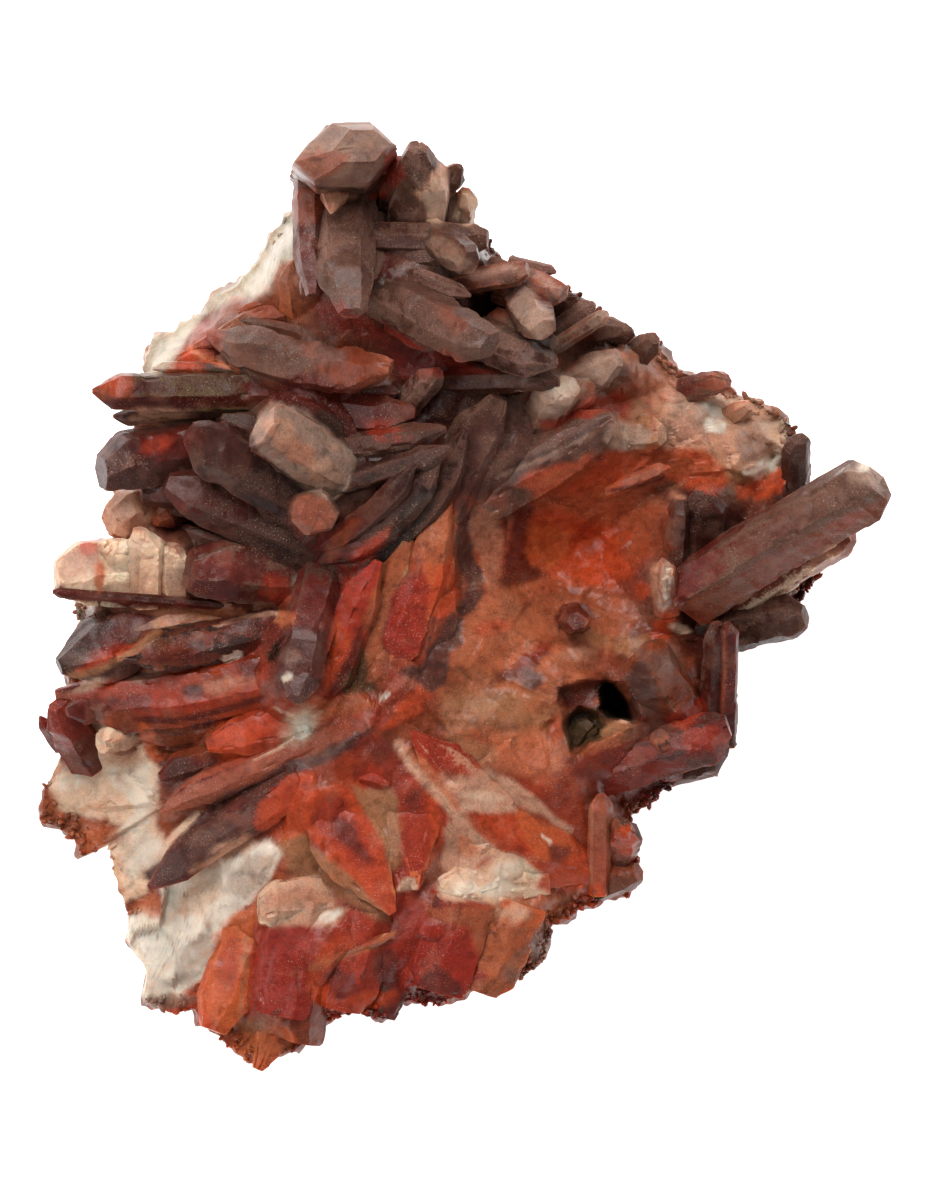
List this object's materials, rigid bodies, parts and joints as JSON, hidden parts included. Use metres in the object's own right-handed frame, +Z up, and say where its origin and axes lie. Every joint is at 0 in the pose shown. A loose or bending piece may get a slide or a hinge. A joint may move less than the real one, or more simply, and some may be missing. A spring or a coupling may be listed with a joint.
{
  "type": "quartz crystal cluster",
  "caption": "Raw iron-stained quartz: six-sided crystals and blades grown together on a broken plate of massive quartz, lying on its flat back.",
  "frame": {"origin": "middle of the flat broken back, on the surface the cluster lies on", "axes": "+Z up out of the back, the way the crystals face; +Y along the cluster's length towards its tallest capped crystal; +X across, towards the long single crystal that stands out of the side"},
  "size_m": [0.1058, 0.1172, 0.0423],
  "materials": {
    "iron_quartz": "natural stone, vitreous: waxy crystal faces, granular stain, bright glints on broken faces"
  },
  "bodies": {
    "root": {"quartz_cluster": "iron_quartz"}
  },
  "joints": []
}
